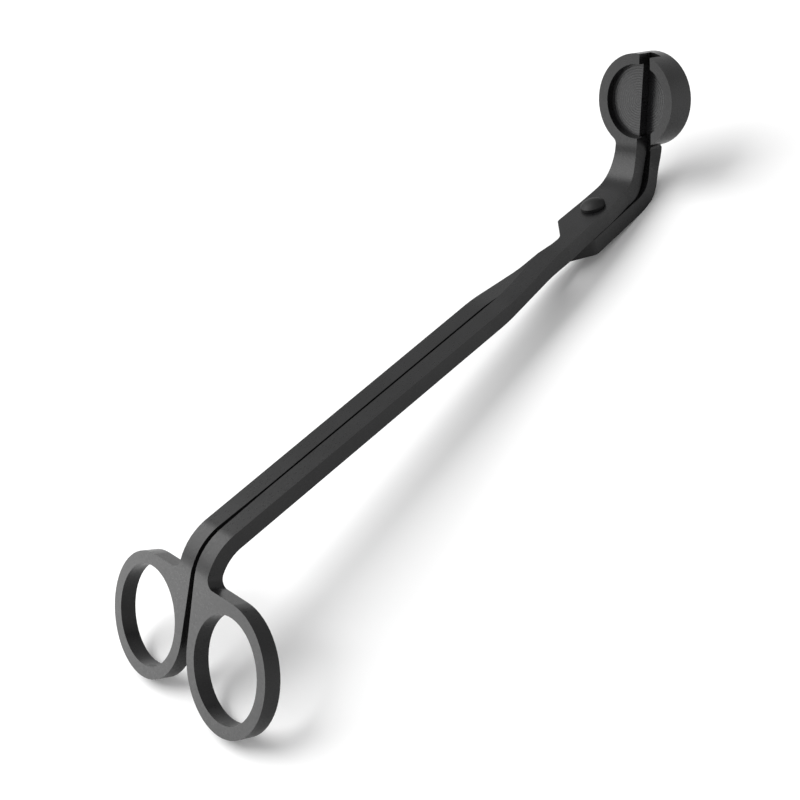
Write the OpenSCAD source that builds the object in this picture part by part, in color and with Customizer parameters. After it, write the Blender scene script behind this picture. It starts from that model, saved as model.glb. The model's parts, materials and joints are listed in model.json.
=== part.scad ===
// Wick trimmer: long-armed scissors with a round, cupped cutting head bent up at the front
// and finger loops bent down at the back.
// Working frame: origin on the pivot axis midway between the two stacked halves,
// +X to the right loop, +Y along the arms to the head, +Z out of the arms' top face.
// Row frame: the working frame tipped so that the tool rests on its loops and its front elbow,
// with z = 0 on the table and the origin under the middle of the bounding box.

/* [Finger loops] */
// diameter of each round finger hole
finger_hole_d = 21.3; // [18:0.1:24]
// width of the metal around a finger hole
loop_rim = 2.65; // [2:0.05:3.4]
// distance from the middle of the tool to the middle of a finger hole
loop_offset = 14.45; // [14:0.05:17]
// distance from the rear bend to the middle of a finger hole, down the loop
loop_reach = 19.85; // [19:0.05:24]
// angle the loops are bent down from the arms
loop_bend = 54; // [40:1:62]
// radius of the rear bend on its outer face
rear_bend_r = 12.2; // [10:0.1:12.4]
// space between the two loops
loop_gap = 1.6; // [1:0.1:2.4]

/* [Arms] */
// distance from the pivot back to the rear bend
arm_length = 123.7; // [100:0.1:150]
// distance across both arms near the loops
arms_width_rear = 10.1; // [9:0.1:12]
// distance across both arms near the pivot
arms_width_front = 10.8; // [9.6:0.1:12]
// thickness of an arm and its loop
arm_thickness = 3.5; // [3:0.05:4]
// space between the closed arms
arm_gap = 0.6; // [0.4:0.1:1]

/* [Pivot and neck] */
// thickness of each half where the two are stacked
lap_thickness = 3.85; // [3.4:0.05:4.4]
// running space between the stacked halves
lap_gap = 0.2; // [0.1:0.05:0.4]
// distance across the pivot plates
pivot_width = 9.4; // [9:0.1:10.4]
// width of the upper neck
neck_width = 6.5; // [5.6:0.1:7]
// distance from the pivot to the front bend
neck_reach = 14.8; // [13.5:0.1:18]
// angle the head is bent up from the arms
head_bend = 68; // [55:1:74]
// radius of the front bend on its inner face
front_bend_r = 11; // [8:0.5:11.5]
// thickness of the two necks together, above the front bend
neck_depth = 8.5; // [8.2:0.1:9]
// radius of the front elbow's outer face
elbow_r = 17.5; // [16:0.5:18.5]

/* [Cutting head] */
// outside diameter of the round head
head_d = 22; // [20:0.2:23]
// thickness of the closed head
head_thickness = 7; // [6.6:0.1:7.6]
// width of the rim around the cup
head_rim = 2.4; // [2:0.1:3]
// depth of the cup in front of the upper blade
cup_depth = 1.6; // [1:0.1:2]
// distance from the front bend to the middle of the head
head_reach = 17.2; // [16.6:0.1:20]
// distance that the upper blade reaches past the middle
upper_overlap = 1.1; // [0.8:0.1:1.6]
// distance that the lower blade reaches past the middle
lower_overlap = 1.2; // [0.8:0.1:1.6]
// distance from the middle to the end of each half's full-height rim
rim_start = 4.75; // [4.4:0.05:5.5]

/* [Rivet] */
// diameter of the rivet's shank
shank_d = 4; // [3:0.1:4.6]
// diameter of the rivet's domed head
rivet_head_d = 5.8; // [5.4:0.1:7]
// height of the rivet's domed head
rivet_head_h = 1.8; // [1.2:0.1:2]
// diameter of the peened end under the tool
peened_d = 6; // [5.4:0.1:7]
// height of the peened end
peened_h = 0.6; // [0.4:0.1:1]

/* [Hidden] */
$fn = 96;
metal_colour = [0.13, 0.13, 0.135];
rivet_colour = [0.12, 0.12, 0.125];

// clearances
shank_play = 0.05;
head_play = 0.05;
rivet_wall = 0.75;
over = 1;
far = 60;

// levels of the arms and the stacked halves
arm_top = arm_thickness / 2;
lap_top = lap_gap / 2 + lap_thickness;
plates_depth = 2 * lap_top;
lower_depth = lap_top + lap_gap / 2;
lower_neck_depth = lower_depth + 0.3;

// loops
finger_r = finger_hole_d / 2;
loop_r = finger_r + loop_rim;
loop_end = loop_reach + loop_r;
loop_top = loop_reach - loop_r;
loop_inner = loop_gap / 2;
loop_straight = 9;
web_fillet = 2.2;

// plan of the arms and plates: distances along the arms from the pivot, then half-widths
bend_reach = 2.5;
splay_front = 5;
splay_run = 13;
plan_rear = -arm_length - bend_reach;
splay_end = -arm_length + splay_front;
splay_start = splay_end + splay_run;
jog_rear = -34;
jog_front = -18.5;
jog_lead = 4;
jog_r = 40;
jog_margin = 3;
nip_rear = -30;
nip = -20;
waist = -15.6;
shoulder_foot = -13;
shoulder_top = -7.6;
hip = -9.5;
neck_end = 19.5;
plan_front = 60;
arm_rear_half = arms_width_rear / 2;
arm_front_half = arms_width_front / 2;
arm_inner = arm_gap / 2;
splay_extra = 0.05;
splay_inner = (arm_inner + loop_inner) / 2 + splay_extra;
nip_inner = 0.02;
waist_inner = 0.85;
pivot_half = pivot_width / 2;
hip_half = 4.9;
plate_half = 4.4;
shoulder_foot_r = 2.5;
shoulder_top_r = 1.6;
corner_steps = 6;
taper_steps = 8;

// upper neck
upper_waist = [3.4, 8];
upper_neck_right = upper_overlap;
upper_neck_left = upper_overlap - neck_width;

// lower neck, which sits a little to the right of the upper one
lower_waist = [3.75, 9];
lower_neck_right = 1.8;
lower_neck_left = -4.5;
lower_shoulder_shift = 0.5;

// tapers through the front bend: start and end along the tangent at the middle of the bend
upper_taper = [-6.5, 5];
lower_taper = [-4, 6];
taper_entry = 0.03;

// head
head_r = head_d / 2;
cup_r = head_r - head_rim;
cup_shift = 0.25;
head_end = head_reach + head_r;
neck_fillet = 1.5;
relief = 0.65;
relief_reach = 8.3;
rim_lean = 3.4;
back_cup_depth = 1;
facing_lap = 0.8;
facing_r = head_r - facing_lap;
facing_h = 3;
neck_top = head_reach - cup_r;

// corners where the bent faces would meet if they were sharp
rear_corner = [-arm_length, arm_top];
front_corner = [neck_reach, lap_top];
function inset(corner, bend, depth) = corner + depth * [tan(bend / 2), -1];
function front_inset(before, after) = front_corner
    + [(after - before * cos(head_bend)) / sin(head_bend), -before];
elbow_corner = front_inset(plates_depth, neck_depth);
lower_bend_r = 12;
mid_bend = front_corner + [-front_bend_r * tan(head_bend / 2), front_bend_r];

// resting attitude: the loops' undersides and the round front elbow touch the table together
function down_loop(reach, depth) = rear_corner
    + [-reach * cos(loop_bend) + depth * sin(loop_bend), -reach * sin(loop_bend) - depth * cos(loop_bend)];
function up_head(reach, depth) = front_corner
    + [reach * cos(head_bend) + depth * sin(head_bend), reach * sin(head_bend) - depth * cos(head_bend)];
elbow_centre = elbow_corner + [-elbow_r * tan(head_bend / 2), elbow_r];
loop_foot = down_loop(loop_end, arm_thickness);
foot_span = elbow_centre - loop_foot;
rest_tilt = atan2(foot_span[1], foot_span[0]) - asin(elbow_r / norm(foot_span));
lift = elbow_r + elbow_centre[0] * sin(rest_tilt) - elbow_centre[1] * cos(rest_tilt);
function level(p) = p[0] * cos(rest_tilt) + p[1] * sin(rest_tilt);
shift = -(level(down_loop(loop_end, 0)) + level(up_head(head_end, head_thickness))) / 2;

// ---- helpers ----

// run of points whose first value eases from one to the other while the second goes evenly
function eased(from, to) = [for (i = [0 : taper_steps])
    let (t = i / taper_steps)
    [from[0] + (to[0] - from[0]) * (1 - cos(180 * t)) / 2, from[1] + (to[1] - from[1]) * t]];

function unit(v) = v / norm(v);

// points of the arc that rounds corner b of the path a-b-c to radius r
function rounded(a, b, c, r) =
    let (
        u = unit(a - b),
        w = unit(c - b),
        half = acos(u * w) / 2,
        centre = b + unit(u + w) * r / sin(half),
        start = b + u * r / tan(half) - centre,
        from = atan2(start[1], start[0]),
        turn = (180 - 2 * half) * sign(cross(w, u))
    )
    [for (i = [0 : corner_steps])
        let (angle = from + turn * i / corner_steps)
        centre + r * [cos(angle), sin(angle)]];

// concave side of a path that comes in along +X and turns up by bend at the origin
module bend_side(bend, r) {
    run = r * tan(bend / 2);
    leave = [cos(bend), sin(bend)];
    outward = [sin(bend), -cos(bend)];
    difference() {
        polygon([[0, 0], far * leave, [-4 * far, far * sin(bend)], [-4 * far, 0]]);
        difference() {
            polygon([[-run, r], [-run, -over], over * [tan(bend / 2), -1], run * leave + over * outward]);
            translate([-run, r]) circle(r);
        }
    }
}

// strip between two corners of the front bend, in side view
module front_strip(top, bottom, top_r, bottom_r) {
    difference() {
        translate(bottom) bend_side(head_bend, bottom_r);
        translate(top) bend_side(head_bend, top_r);
    }
}

// strip of an arm and its loop through the rear bend, in side view
module rear_strip() {
    difference() {
        translate(rear_corner) rotate(180) bend_side(loop_bend, rear_bend_r);
        translate(inset(rear_corner, loop_bend, arm_thickness))
            rotate(180) bend_side(loop_bend, rear_bend_r - arm_thickness);
    }
}

// side view swept across the tool
module across() {
    rotate([90, 0, 90]) translate([0, 0, -far]) linear_extrude(2 * far) children();
}

// plan view swept through the tool's height
module upright() {
    translate([0, 0, -far]) linear_extrude(2 * far) children();
}

// outline drawn on the loop's top face, x to the side and y towards the arm
module on_loop() {
    translate([0, rear_corner[0], rear_corner[1]]) rotate([loop_bend, 0, 0]) children();
}

// outline drawn on the head's front face, x to the side and y towards the tip
module on_head() {
    translate([0, front_corner[0], front_corner[1]]) rotate([head_bend, 0, 0]) children();
}

// tool set down on the table
module at_rest() {
    translate([0, shift, lift]) rotate([-rest_tilt, 0, 0]) children();
}

// ---- side views ----

// edge that steps from one height to the other along the arm, with both corners rounded
function step_edge(rear, front, from, to) = concat(
    rounded([rear - far, from], [rear, from], [front, to], jog_r),
    rounded([rear, from], [front, to], [front + far, to], jog_r)
);

// same edge, going back
function step_back(rear, front, from, to) =
    let (edge = step_edge(rear, front, from, to))
    [for (i = [len(edge) - 1 : -1 : 0]) edge[i]];

// change of height from the level arms to the stacked plates; the side that is stepped into leads
module jog(top, bottom, top_lead, bottom_lead) {
    rear = jog_rear - jog_lead - jog_margin - over;
    front = jog_front + jog_margin + over;
    polygon(concat(
        [[rear, -arm_top], [rear, arm_top]],
        step_edge(jog_rear - top_lead, jog_front - top_lead, arm_top, top),
        [[front, top], [front, bottom]],
        step_back(jog_rear - bottom_lead, jog_front - bottom_lead, -arm_top, bottom)
    ));
}

module arm_side() {
    intersection() {
        rear_strip();
        translate([jog_rear - jog_lead - jog_margin - 4 * far, -far]) square([4 * far, 2 * far]);
    }
}

module front_side() {
    intersection() {
        children();
        translate([jog_front + jog_margin, -far]) square([2 * far, 2 * far]);
    }
}

module upper_side() {
    arm_side();
    jog(lap_top, lap_gap / 2, 0, jog_lead);
    front_side() front_strip(
        front_corner, inset(front_corner, head_bend, lap_thickness), front_bend_r, front_bend_r + lap_thickness
    );
}

module lower_side() {
    arm_side();
    jog(-lap_gap / 2, -lap_top, jog_lead, 0);
    front_side()
        front_strip(front_inset(lower_depth, lower_neck_depth), elbow_corner, lower_bend_r, elbow_r);
}

// ---- plan views ----

// outer edge of the right arm, going forward
function arm_outer() = [
    [arm_rear_half, plan_rear], [arm_rear_half, splay_end],
    [arm_front_half, jog_front], [arm_front_half, waist]
];

// shoulder and inner edge of the right arm, going back from the pivot plate
function arm_inner_edge(shift) =
    let (
        plate = [-pivot_half, 0],
        top = [-pivot_half, shoulder_top + shift],
        foot = [waist_inner, shoulder_foot + shift]
    )
    concat(
        rounded(plate, top, foot, shoulder_top_r),
        rounded(top, foot, [waist_inner, waist], shoulder_foot_r),
        eased([waist_inner, waist], [nip_inner, nip]),
        [
            [arm_inner, nip_rear], [arm_inner, splay_start],
            [splay_inner, splay_end], [splay_inner, plan_rear]
        ]
    );

module upper_plan() {
    polygon(concat(
        arm_outer(),
        [[hip_half, hip], [plate_half, 0], upper_waist, [upper_waist[0], plan_front]],
        [[upper_neck_left, plan_front]],
        eased([upper_neck_left, neck_end], [-pivot_half, 0]),
        arm_inner_edge(0)
    ));
}

module lower_plan() {
    mirror([1, 0]) polygon(concat(
        arm_outer(),
        [[plate_half, hip], [-lower_neck_left, 0]],
        [[-lower_neck_left, plan_front], [-lower_waist[0], plan_front], [-lower_waist[0], lower_waist[1]]],
        arm_inner_edge(lower_shoulder_shift)
    ));
}

// right loop with the web that joins it to its arm, y towards the arm
module loop_outline() {
    difference() {
        union() {
            translate([loop_offset, -loop_reach]) circle(loop_r);
            polygon([
                [splay_inner, 0], [arm_rear_half, 0], [arm_rear_half, -loop_top + web_fillet],
                [arm_rear_half + web_fillet, -loop_top + web_fillet],
                [arm_rear_half + web_fillet, -loop_top], [loop_offset, -loop_top],
                [loop_offset, -loop_reach], [loop_offset - loop_r, -loop_reach],
                [loop_inner, -loop_straight]
            ]);
        }
        translate([arm_rear_half + web_fillet, -loop_top + web_fillet]) circle(web_fillet);
        translate([loop_offset, -loop_reach]) circle(finger_r);
    }
}

module loop_prism() {
    on_loop() translate([0, 0, -far / 2]) linear_extrude(far) loop_outline();
}

// plan outline cut off square at a height up the head
module neck_prism(top) {
    difference() {
        upright() children();
        on_head() translate([-far, top, -far]) cube([2 * far, 2 * far, 2 * far]);
    }
}

// what lies right of an edge that eases inwards through the front bend, square to the bent faces
module bend_taper(from, to, span) {
    translate([0, mid_bend[0], mid_bend[1]]) rotate([head_bend / 2, 0, 0])
        translate([0, 0, -far]) linear_extrude(2 * far) polygon(concat(
            eased([from + taper_entry, span[0]], [to, span[1]]),
            [[to, far], [far, far], [far, span[0]]]
        ));
}

// part of the round head on one side of a line, x from the line outwards, the line turned by lean
module head_disc(from, lean = 0) {
    translate([0, head_reach]) intersection() {
        circle(head_r);
        rotate(lean) translate([from, -far]) square([far, 2 * far]);
    }
}

// fillet where an outer edge of the neck, at x = edge, runs into the round head
module neck_root(edge) {
    centre = [edge + neck_fillet, head_reach - sqrt(pow(head_r + neck_fillet, 2) - pow(edge + neck_fillet, 2))];
    touch = centre + unit([0, head_reach] - centre) * neck_fillet;
    difference() {
        polygon([[edge - over, centre[1]], centre, touch, [edge - over, touch[1] + over]]);
        translate(centre) circle(neck_fillet);
    }
}

// straight through both halves along the pivot
module bore(r) {
    translate([0, 0, -far]) cylinder(h = 2 * far, r = r);
}

// ---- halves ----

// half that lies on top at the pivot: right loop, left side of the head
module upper_body() {
    difference() {
        union() {
            difference() {
                intersection() {
                    across() upper_side();
                    neck_prism(neck_top) upper_plan();
                }
                bend_taper(upper_waist[0], upper_neck_right, upper_taper);
            }
            intersection() {
                across() arm_side();
                loop_prism();
            }
            on_head() translate([0, 0, -lap_thickness]) linear_extrude(lap_thickness) mirror([1, 0]) {
                head_disc(-upper_overlap);
                neck_root(-upper_neck_left);
            }
            on_head() translate([0, 0, -head_thickness]) linear_extrude(head_thickness - over)
                mirror([1, 0]) head_disc(rim_start);
        }
        on_head() translate([cup_shift, head_reach, -cup_depth]) cylinder(h = far, r = cup_r);
        on_head() translate([0, head_reach, -lap_thickness - far]) cylinder(h = far, r = cup_r);
        on_head() translate([0, head_reach, -far / 2]) linear_extrude(far) edge_relief();
        bore(shank_d / 2 + shank_play);
    }
}

// the upper blade leans back a little from the overlap line towards the neck
module edge_relief() {
    polygon([
        [upper_overlap, relief_reach], [upper_overlap - relief, -relief_reach],
        [upper_overlap + over, -relief_reach], [upper_overlap + over, relief_reach]
    ]);
}

// half that lies underneath at the pivot: left loop, right side of the head
module lower_body() {
    difference() {
        union() {
            difference() {
                intersection() {
                    across() lower_side();
                    neck_prism(neck_top) lower_plan();
                }
                bend_taper(lower_waist[0], lower_neck_right, lower_taper);
            }
            mirror([1, 0, 0]) intersection() {
                across() arm_side();
                loop_prism();
            }
            on_head() translate([0, 0, -head_thickness]) linear_extrude(head_thickness - lower_depth) {
                head_disc(-lower_overlap);
                neck_root(lower_neck_right);
            }
            on_head() translate([0, 0, -lower_depth - over]) linear_extrude(lower_depth + over)
                head_disc(rim_start, rim_lean);
        }
        on_head() translate([cup_shift, head_reach, -lower_depth]) cylinder(h = far, r = cup_r);
        on_head() translate([0, head_reach, -head_thickness - facing_h])
            cylinder(h = facing_h, r1 = facing_r + facing_h, r2 = facing_r);
        on_head() translate([0, head_reach, -head_thickness - over])
            cylinder(h = over + back_cup_depth, r = cup_r);
        bore(shank_d / 2);
    }
}

// ---- nodes ----

module upper_half() {
    color(metal_colour) at_rest() upper_body();
}

module lower_half() {
    color(metal_colour) at_rest() lower_body();
}

// low dome cut from a sphere, flat side down
module dome(d, h) {
    r = (pow(d / 2, 2) + h * h) / (2 * h);
    intersection() {
        translate([0, 0, h - r]) sphere(r);
        translate([-d, -d, 0]) cube([2 * d, 2 * d, 2 * h]);
    }
}

// straight wall with a dome over it, flat side down
module rivet_head() {
    rise = rivet_head_h - rivet_wall;
    r = (pow(rivet_head_d / 2, 2) + rise * rise) / (2 * rise);
    intersection() {
        translate([0, 0, rivet_head_h - r]) sphere(r);
        cylinder(h = rivet_head_h + over, d = rivet_head_d);
    }
}

module pivot_rivet() {
    color(rivet_colour) at_rest() {
        translate([0, 0, -lap_top]) cylinder(h = 2 * lap_top + head_play, d = shank_d);
        translate([0, 0, lap_top + head_play]) rivet_head();
        translate([0, 0, -lap_top]) mirror([0, 0, 1]) dome(peened_d, peened_h);
    }
}

upper_half();
lower_half();
pivot_rivet();
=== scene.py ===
"""Looks of the wick trimmer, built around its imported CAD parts."""

import json
import math

import bpy
from mathutils import Matrix, Vector


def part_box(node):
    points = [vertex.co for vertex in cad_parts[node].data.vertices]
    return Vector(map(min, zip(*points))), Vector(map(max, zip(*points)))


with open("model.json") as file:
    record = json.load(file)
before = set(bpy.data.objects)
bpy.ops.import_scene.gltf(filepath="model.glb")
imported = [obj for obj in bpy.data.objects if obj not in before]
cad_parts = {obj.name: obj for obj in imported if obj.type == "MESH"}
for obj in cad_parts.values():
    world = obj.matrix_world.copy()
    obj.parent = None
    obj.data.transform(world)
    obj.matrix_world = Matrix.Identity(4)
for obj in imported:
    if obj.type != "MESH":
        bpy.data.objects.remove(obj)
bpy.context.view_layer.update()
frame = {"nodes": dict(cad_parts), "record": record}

MM = 0.001

# ---- coating ----

# linear colours; the rivet is darker and duller than the halves
HALF_COLOUR, HALF_ROUGHNESS = (0.0058, 0.0058, 0.0061), 0.31
RIVET_COLOUR, RIVET_ROUGHNESS = (0.003, 0.003, 0.0032), 0.55
SPECULAR = 0.3

# each pattern's cells per metre
SHADE_CELLS = 130.0
SPECKLE_CELLS = 6500.0
GRAIN_CELLS = 1900.0
PEEL_CELLS = 3200.0
WOBBLE_CELLS = 150.0

# how bright each pattern is, as a multiple of the coating's colour
DARK_SHADE = 0.75
PALE_SHADE = 1.3
SPECKLE_SHADE = 2.6
RING_SHADE = 4.5

BUMP_HEIGHT = 0.02 * MM
RING_PITCH = 0.6 * MM
RING_WOBBLE = 0.2 * MM

# ---- setting ----

FLOOR_REACH = 2.0
FLOOR_GREY = 0.9
ROOM_LIGHT = 0.64

# name, place, aim, size in metres, and watts
LIGHTS = (
    ("overhead", (-0.62, -0.12, 0.92), (0, 0, 0), (1.0, 1.0), 12.0),
    ("low_panel", (-0.9, -0.84, 0.22), (0, 0, 0.02), (1.3, 0.46), 6.0),
)

CAMERA_AZIMUTH = math.radians(65.249)
CAMERA_ELEVATION = math.radians(37.484)
CAMERA_ROLL = math.radians(31.795)
CAMERA_DISTANCE = 0.28597
CAMERA_AIM = Vector((-0.00205, -0.01222, 0.01125))
CAMERA_LENS = 59.17

# ---- places taken from the frame ----

# the joint's axis stands square to the arms, and the head leans up from them by the bend of the neck
NECK_BEND = math.radians(68)
AXIS = Vector(frame["record"]["behaviour"]["joints"][0]["axis"]).normalized()
ARM_TILT = math.atan2(AXIS.y, AXIS.z)
HEAD_LEAN = NECK_BEND - ARM_TILT
HEAD_UP = Vector((0, math.cos(HEAD_LEAN), math.sin(HEAD_LEAN)))
HEAD_OUT = Vector((0, -math.sin(HEAD_LEAN), math.cos(HEAD_LEAN)))
HEAD_RADIUS = 11 * MM
HEAD_DEPTH = 7 * MM
CUP_RADIUS = 8.6 * MM


def head_middle():
    """Middle of the head's front face.

    The upper half has the head's top edge, and the lower half has the far edge of its back.
    """
    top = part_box("upper_half")[1][2]
    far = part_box("lower_half")[1][1]
    tip = Vector((0, far + HEAD_OUT.y * HEAD_DEPTH, top))
    return tip - HEAD_UP * HEAD_RADIUS


# ---- node helpers ----


def new_material(name):
    """A node material with only a Principled shader and its output."""
    mat = bpy.data.materials.new(name)
    mat.use_nodes = True
    tree = mat.node_tree
    tree.nodes.clear()
    out = tree.nodes.new("ShaderNodeOutputMaterial")
    shader = tree.nodes.new("ShaderNodeBsdfPrincipled")
    tree.links.new(shader.outputs["BSDF"], out.inputs["Surface"])
    return mat, tree, shader


def object_coordinates(tree):
    return tree.nodes.new("ShaderNodeTexCoord").outputs["Object"]


def noise(tree, where, scale, detail):
    """Value of a noise pattern; scale is in cells per metre."""
    node = tree.nodes.new("ShaderNodeTexNoise")
    node.inputs["Scale"].default_value = scale
    node.inputs["Detail"].default_value = detail
    node.inputs["Roughness"].default_value = 0.55
    tree.links.new(where, node.inputs["Vector"])
    return node.outputs["Fac"]


def ramp(tree, value, low, high, out_low, out_high):
    """Maps low..high to out_low..out_high, held flat outside."""
    node = tree.nodes.new("ShaderNodeMapRange")
    node.clamp = True
    for socket, number in (
        ("From Min", low),
        ("From Max", high),
        ("To Min", out_low),
        ("To Max", out_high),
    ):
        node.inputs[socket].default_value = number
    tree.links.new(value, node.inputs["Value"])
    return node.outputs["Result"]


def math_node(tree, operation, a, b=None):
    """Result of a math node; each input is a number or a socket."""
    node = tree.nodes.new("ShaderNodeMath")
    node.operation = operation
    for socket, value in zip(node.inputs, (a, b)):
        if value is None:
            continue
        if isinstance(value, (int, float)):
            socket.default_value = value
        else:
            tree.links.new(value, socket)
    return node.outputs["Value"]


def vector_math(tree, operation, a, b):
    """First result of a vector node: the vector, or the number for a dot product."""
    node = tree.nodes.new("ShaderNodeVectorMath")
    node.operation = operation
    for socket, value in zip(node.inputs, (a, b)):
        if isinstance(value, Vector):
            socket.default_value = value
        else:
            tree.links.new(value, socket)
    return node.outputs["Value" if operation == "DOT_PRODUCT" else "Vector"]


def mix_colour(tree, factor, a, b):
    """Colour between a and b; each is a tuple or a socket."""
    node = tree.nodes.new("ShaderNodeMix")
    node.data_type = "RGBA"
    tree.links.new(factor, node.inputs["Factor"])
    # in RGBA mode the colours are inputs 6 and 7, and output 2
    for socket, value in ((node.inputs[6], a), (node.inputs[7], b)):
        if isinstance(value, tuple):
            socket.default_value = (*value, 1.0)
        else:
            tree.links.new(value, socket)
    return node.outputs[2]


def bump(tree, height, strength, normal=None):
    node = tree.nodes.new("ShaderNodeBump")
    node.inputs["Strength"].default_value = strength
    node.inputs["Distance"].default_value = BUMP_HEIGHT
    tree.links.new(height, node.inputs["Height"])
    if normal is not None:
        tree.links.new(normal, node.inputs["Normal"])
    return node.outputs["Normal"]


# ---- materials ----


def times(colour, factor):
    return tuple(factor * c for c in colour)


def turning_rings(tree, where, middle):
    """Fine rings round the head's axis, shown only on the floors of its cups."""
    offset = vector_math(tree, "SUBTRACT", where, middle)
    side = vector_math(tree, "DOT_PRODUCT", offset, Vector((1, 0, 0)))
    up = vector_math(tree, "DOT_PRODUCT", offset, HEAD_UP)
    out = vector_math(tree, "DOT_PRODUCT", offset, HEAD_OUT)
    side_squared = math_node(tree, "MULTIPLY", side, side)
    up_squared = math_node(tree, "MULTIPLY", up, up)
    radius = math_node(tree, "SQRT", math_node(tree, "ADD", side_squared, up_squared))

    wobble = math_node(tree, "MULTIPLY", noise(tree, where, WOBBLE_CELLS, 1.0), RING_WOBBLE)
    uneven = math_node(tree, "ADD", radius, wobble)
    turns = math_node(tree, "MULTIPLY", uneven, 2 * math.pi / RING_PITCH)
    half_wave = math_node(tree, "MULTIPLY", math_node(tree, "SINE", turns), 0.5)
    wave = math_node(tree, "ADD", half_wave, 0.5)

    within = ramp(tree, radius, CUP_RADIUS - 0.6 * MM, CUP_RADIUS - 0.2 * MM, 1.0, 0.0)
    sunk = ramp(tree, out, -1.4 * MM, -1.0 * MM, 1.0, 0.0)
    return math_node(tree, "MULTIPLY", wave, math_node(tree, "MULTIPLY", within, sunk))


def black_coating(name, base, rough, middle=None):
    """Satin black coating on steel: fine orange peel, dusty speckle and slow changes of shade.

    With the head's middle, it also has turning rings on the floors of the cups.
    """
    mat, tree, shader = new_material(name)
    where = object_coordinates(tree)
    shade = ramp(tree, noise(tree, where, SHADE_CELLS, 3.0), 0.35, 0.68, 0.0, 1.0)
    colour = mix_colour(tree, shade, times(base, DARK_SHADE), times(base, PALE_SHADE))
    speckle = ramp(tree, noise(tree, where, SPECKLE_CELLS, 1.0), 0.5, 0.8, 0.0, 0.5)
    colour = mix_colour(tree, speckle, colour, times(base, SPECKLE_SHADE))
    grain = noise(tree, where, GRAIN_CELLS, 3.0)
    grain = ramp(tree, grain, 0.3, 0.7, rough - 0.05, rough + 0.05)
    peel = bump(tree, noise(tree, where, PEEL_CELLS, 1.0), 0.16)
    if middle is not None:
        rings = turning_rings(tree, where, middle)
        ring_share = math_node(tree, "MULTIPLY", rings, 0.8)
        colour = mix_colour(tree, ring_share, colour, times(base, RING_SHADE))
        polish = math_node(tree, "MULTIPLY", rings, 0.06)
        grain = math_node(tree, "SUBTRACT", grain, polish)
        peel = bump(tree, rings, 0.5, peel)
    tree.links.new(colour, shader.inputs["Base Color"])
    tree.links.new(grain, shader.inputs["Roughness"])
    tree.links.new(peel, shader.inputs["Normal"])
    shader.inputs["Specular IOR Level"].default_value = SPECULAR
    return mat


# ---- object ----


def finish_part(node, mat):
    """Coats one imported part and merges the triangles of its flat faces."""
    part = frame["nodes"][node]
    part.data.materials.clear()
    part.data.materials.append(mat)
    merge = part.modifiers.new("flats", "DECIMATE")
    merge.decimate_type = "DISSOLVE"
    merge.angle_limit = math.radians(0.5)


# ---- stage ----


def link(thing):
    bpy.context.scene.collection.objects.link(thing)


def studio_floor():
    reach = FLOOR_REACH
    corners = [(-reach, -reach, 0), (reach, -reach, 0), (reach, reach, 0), (-reach, reach, 0)]
    mesh = bpy.data.meshes.new("floor")
    mesh.from_pydata(corners, [], [(0, 1, 2, 3)])
    floor = bpy.data.objects.new("floor", mesh)
    link(floor)
    mat, _, shader = new_material("floor_paper")
    shader.inputs["Base Color"].default_value = (FLOOR_GREY, FLOOR_GREY, FLOOR_GREY, 1.0)
    shader.inputs["Roughness"].default_value = 0.9
    mesh.materials.append(mat)


def surroundings():
    """Even pale room light, shown without a filmic curve so that white paper stays white."""
    world = bpy.data.worlds.new("studio")
    bpy.context.scene.world = world
    world.use_nodes = True
    back = world.node_tree.nodes["Background"]
    back.inputs["Color"].default_value = (1.0, 1.0, 1.0, 1.0)
    back.inputs["Strength"].default_value = ROOM_LIGHT
    bpy.context.scene.view_settings.view_transform = "Standard"


def soft_light(name, place, aim, size, power):
    data = bpy.data.lights.new(name, "AREA")
    data.shape = "RECTANGLE"
    data.size, data.size_y = size
    data.energy = power
    lamp = bpy.data.objects.new(name, data)
    link(lamp)
    place, aim = Vector(place), Vector(aim)
    lamp.location = place
    lamp.rotation_euler = (aim - place).to_track_quat("-Z", "Y").to_euler()


def camera():
    """Camera above and to the right of the tool, turned so that it lies across the picture."""
    data = bpy.data.cameras.new("camera")
    data.sensor_width = 36.0
    data.lens = CAMERA_LENS
    data.clip_start, data.clip_end = 0.01, 10.0
    cam = bpy.data.objects.new("camera", data)
    link(cam)
    level = math.cos(CAMERA_ELEVATION)
    back = Vector(
        (
            math.sin(CAMERA_AZIMUTH) * level,
            -math.cos(CAMERA_AZIMUTH) * level,
            math.sin(CAMERA_ELEVATION),
        )
    )
    place = Matrix.Translation(CAMERA_AIM + back * CAMERA_DISTANCE)
    turn = (-back).to_track_quat("-Z", "Y").to_matrix().to_4x4()
    cam.matrix_world = place @ turn @ Matrix.Rotation(-CAMERA_ROLL, 4, "Z")
    bpy.context.scene.camera = cam


HALF_COATING = black_coating("black_coating", HALF_COLOUR, HALF_ROUGHNESS, head_middle())
RIVET_COATING = black_coating("black_rivet", RIVET_COLOUR, RIVET_ROUGHNESS)
finish_part("upper_half", HALF_COATING)
finish_part("lower_half", HALF_COATING)
finish_part("pivot_rivet", RIVET_COATING)

studio_floor()
surroundings()
for light in LIGHTS:
    soft_light(*light)
camera()
